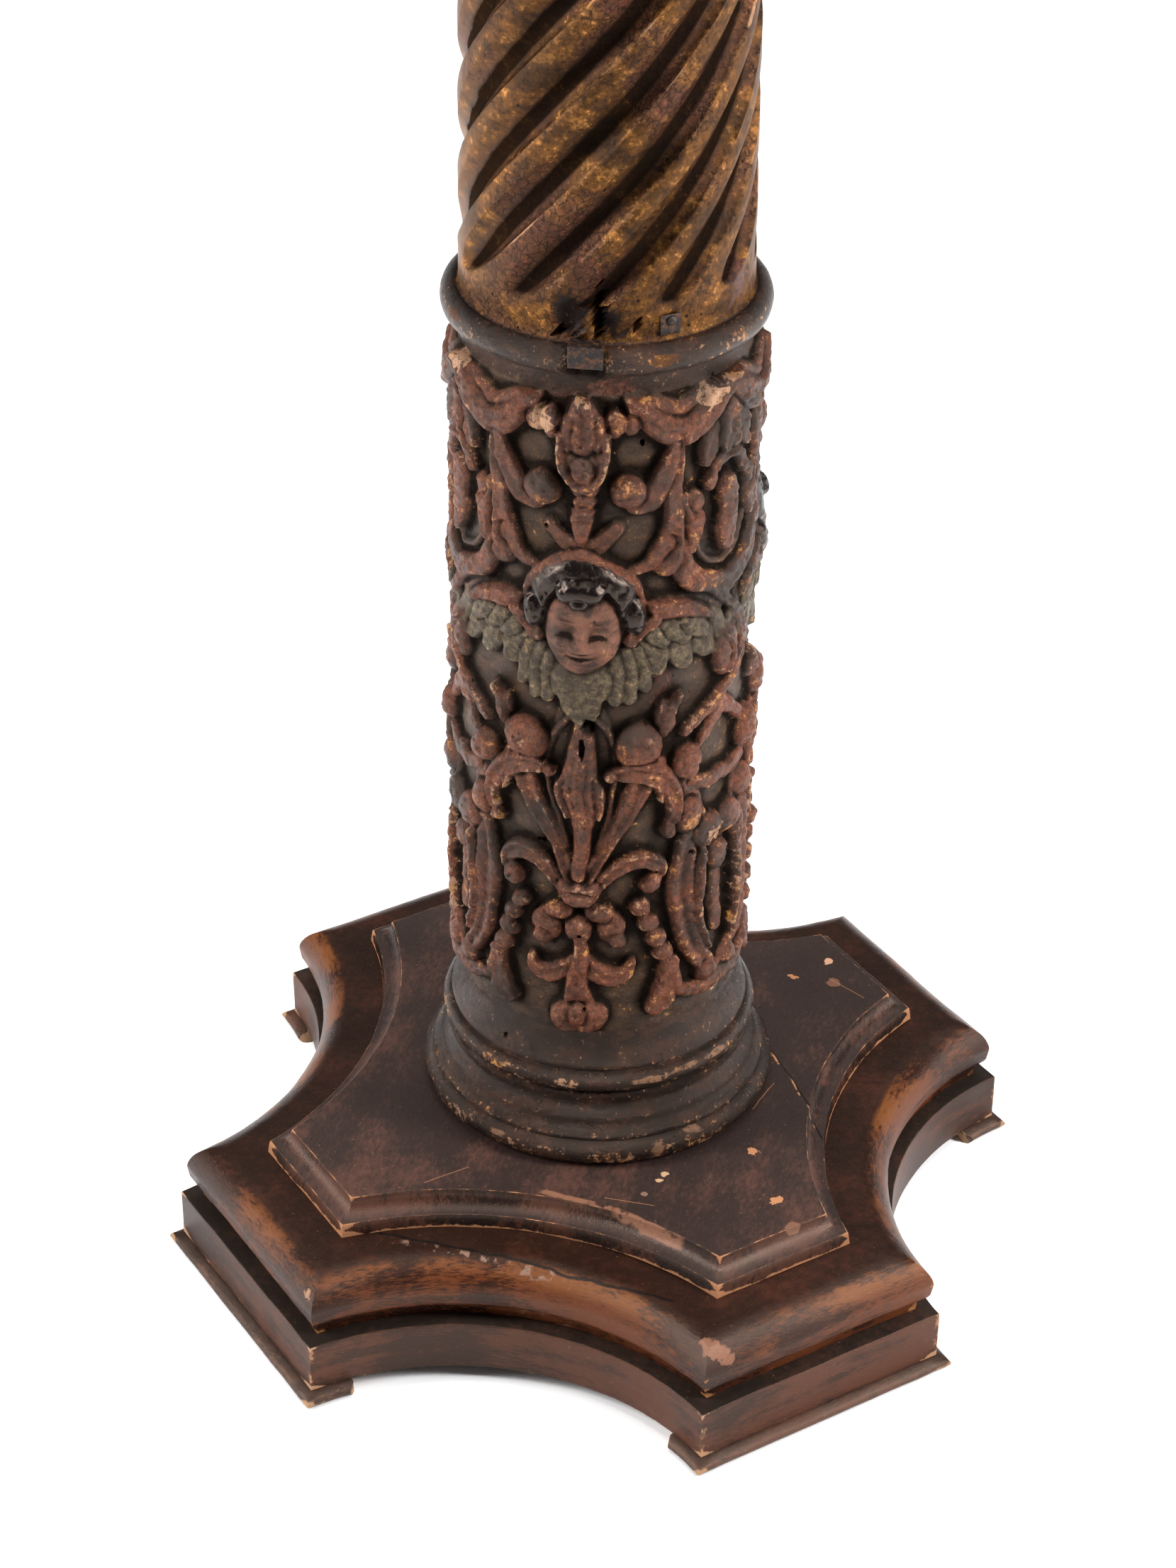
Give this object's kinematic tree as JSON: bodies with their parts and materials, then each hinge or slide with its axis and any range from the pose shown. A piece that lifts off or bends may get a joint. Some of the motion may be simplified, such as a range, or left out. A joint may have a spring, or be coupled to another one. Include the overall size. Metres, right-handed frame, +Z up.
{
  "type": "carved column",
  "caption": "Tall turned wooden column, lower third carved with winged heads, fruit and scrolls, spiral-fluted shaft, leaf capital, stepped base with hollow sides.",
  "frame": {"origin": "on the floor, under the middle of the base", "axes": "+Z up the column's axis, -Y towards the front, where the first winged head faces, +X to its right as seen"},
  "size_m": [0.5724, 0.5724, 2.0002],
  "materials": {
    "plinth_wood": "dull brown stained wood, worn at the edges",
    "moulding_wood": "red-brown stained and polished wood",
    "panel_wood": "near-black stained wood",
    "foot_wood": "dark stained wood",
    "column_gilding": "carved wood, dark brown below, worn old gilding over red ground above",
    "capital_gilding": "worn old gilding over red ground",
    "old_iron": "hand-forged iron, darkened"
  },
  "bodies": {
    "root": {"plinth_band": "plinth_wood", "base_moulding": "moulding_wood", "base_panel": "panel_wood", "corner_foot_1": "foot_wood", "corner_foot_2": "foot_wood", "corner_foot_3": "foot_wood", "corner_foot_4": "foot_wood", "column": "column_gilding", "capital": "capital_gilding", "iron_strap": "old_iron", "iron_plate": "old_iron"}
  },
  "joints": []
}
